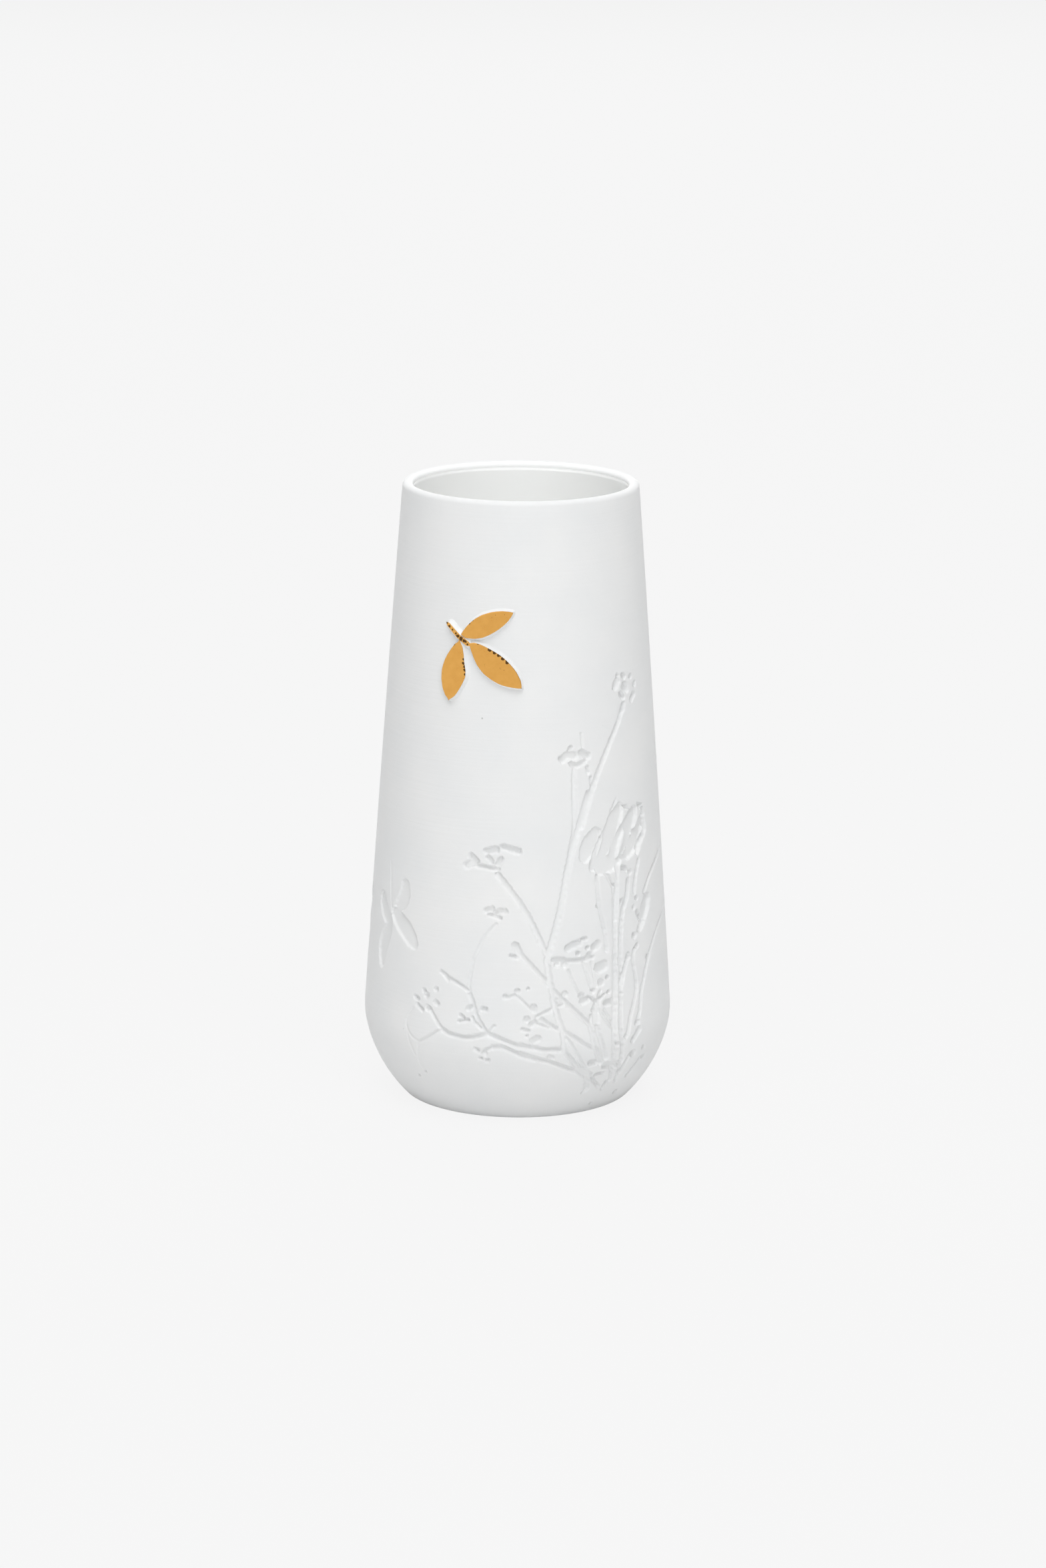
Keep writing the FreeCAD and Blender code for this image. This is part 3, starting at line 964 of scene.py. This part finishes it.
def sprig_part(name, first, second, foot):
    """The porcelain of one leaf or twig and the gold on its top."""
    sides = [
        (0.03, RELIEF - 0.02),
        (0.09, RELIEF - 0.09),
        (0.3 * foot, RELIEF * 0.66),
        (0.5 * foot, RELIEF * 0.4),
        (0.7 * foot, RELIEF * 0.16),
        (0.86 * foot, 0.05),
        (foot, -0.04),
    ]
    white = wrapped(skirt(patch(first, second, 0.04, RELIEF - 0.01), sides))
    finished(white, sprig_white, name + "_relief")
    top = RELIEF + GILDING
    edge = [
        (0.08, top - 0.006),
        (0.15, top - 0.022),
        (0.2, top - 0.046),
        (0.23, top - 0.075),
        (0.24, RELIEF - 0.005),
    ]
    gilded = wrapped(skirt(patch(first, second, 0.22, top), edge))
    finished(gilded, gilt, name + "_gilding")


def twig_sides(count=24):
    """The two long edges of the twig, which grows a little wider along it and has round ends."""
    middle = curve(TWIG, count)
    sides = ([], [])
    for i, p in enumerate(middle):
        before, after = middle[max(0, i - 1)], middle[min(count, i + 1)]
        along = (after - before).normalized()
        round_end = min(1, math.sqrt(max(0.0, min(i, count - i) / 1.5)))
        half = TWIG_HALF * round_end * (0.85 + 0.3 * (i / count))
        across = Vector((-along.y, along.x)) * half
        sides[0].append(p + across)
        sides[1].append(p - across)
    return sides


for name, (first, second) in LEAVES.items():
    sprig_part(name, curve(first, 40), curve(second, 40), 0.55)

sprig_part("twig", *twig_sides(), 0.75)

# ---- Floor, light and camera ----

floor_material, nodes, links, shader = new_material("floor")
shader.inputs["Base Color"].default_value = (0.86, 0.86, 0.86, 1)
shader.inputs["Roughness"].default_value = 0.9
even = nodes.new("ShaderNodeEmission")
even.inputs["Color"].default_value = (0.925, 0.925, 0.925, 1)
mix = nodes.new("ShaderNodeMixShader")
links.new(combined(nodes, links, "MULTIPLY", seen(nodes, links), 0.95), mix.inputs["Fac"])
links.new(shader.outputs[0], mix.inputs[1])
links.new(even.outputs[0], mix.inputs[2])
links.new(mix.outputs[0], nodes["Material Output"].inputs["Surface"])
bm = bmesh.new()
bmesh.ops.create_grid(bm, x_segments=2, y_segments=2, size=12)
mesh = bpy.data.meshes.new("floor")
bm.to_mesh(mesh)
bm.free()
mesh.materials.append(floor_material)
floor = bpy.data.objects.new("floor", mesh)
scene.collection.objects.link(floor)

world = bpy.data.worlds.new("studio")
scene.world = world
world.use_nodes = True
nodes, links = world.node_tree.nodes, world.node_tree.links
direction = nodes.new("ShaderNodeSeparateXYZ")
links.new(nodes.new("ShaderNodeTexCoord").outputs["Generated"], direction.inputs["Vector"])
# Pale all round, and dark far to the right, for the camera and for what shines.
sides = [(0.6, (0.905, 0.905, 0.905)), (0.8, (0.12, 0.11, 0.1))]
mix = nodes.new("ShaderNodeMix")
mix.data_type = "RGBA"
mix.inputs["A"].default_value = (0.02, 0.02, 0.02, 1)
links.new(ramp(nodes, links, direction.outputs["X"], sides), mix.inputs["B"])
links.new(seen(nodes, links), mix.inputs["Factor"])
links.new(mix.outputs["Result"], nodes["Background"].inputs["Color"])

# Each lamp: where it stands and how wide and high it is, in metres, and its power.
LAMPS = {
    "overhead": ((0.0, -0.1, 1.6), (1.6, 1.6), 16.0),
    "front high": ((0.1, -1.2, 1.7), (1.6, 1.2), 15.5),
    "front": ((0.1, -2.0, 1.1), (1.6, 1.2), 6.5),
    "front low": ((0.1, -2.4, 0.3), (2.4, 0.6), 7.0),
    "left": ((-1.1, -1.1, 1.4), (0.9, 0.9), 2.4),
    "right": ((1.1, -1.1, 1.4), (0.9, 0.9), 1.8),
    "back": ((0.0, 2.0, 1.1), (2.4, 1.4), 22.0),
}
target = Vector((0, 0, HEIGHT / 2 * MM))
for name, (place, size, power) in LAMPS.items():
    light = bpy.data.lights.new(name, "AREA")
    light.shape = "RECTANGLE"
    light.size, light.size_y = size
    light.energy = power
    lamp = bpy.data.objects.new(name, light)
    lamp.location = place
    lamp.visible_glossy = name == "left"
    lamp.rotation_mode = "QUATERNION"
    lamp.rotation_quaternion = (target - Vector(place)).to_track_quat("-Z", "Y")
    scene.collection.objects.link(lamp)

DISTANCE, ELEVATION, ROLL = 1.0, math.radians(13.775), math.radians(0.4)
camera = bpy.data.objects.new("camera", bpy.data.cameras.new("camera"))
camera.data.lens = 117.9
camera.data.sensor_width = 36
camera.location = target + Vector((0, -DISTANCE * math.cos(ELEVATION), DISTANCE * math.sin(ELEVATION)))
aim = target + Vector((0.00079, 0, 0.000565))
turn = (aim - camera.location).to_track_quat("-Z", "Y")
camera.rotation_mode = "QUATERNION"
camera.rotation_quaternion = turn @ Quaternion((0, 0, 1), ROLL)
scene.collection.objects.link(camera)
scene.camera = camera
scene.view_settings.view_transform = "Standard"
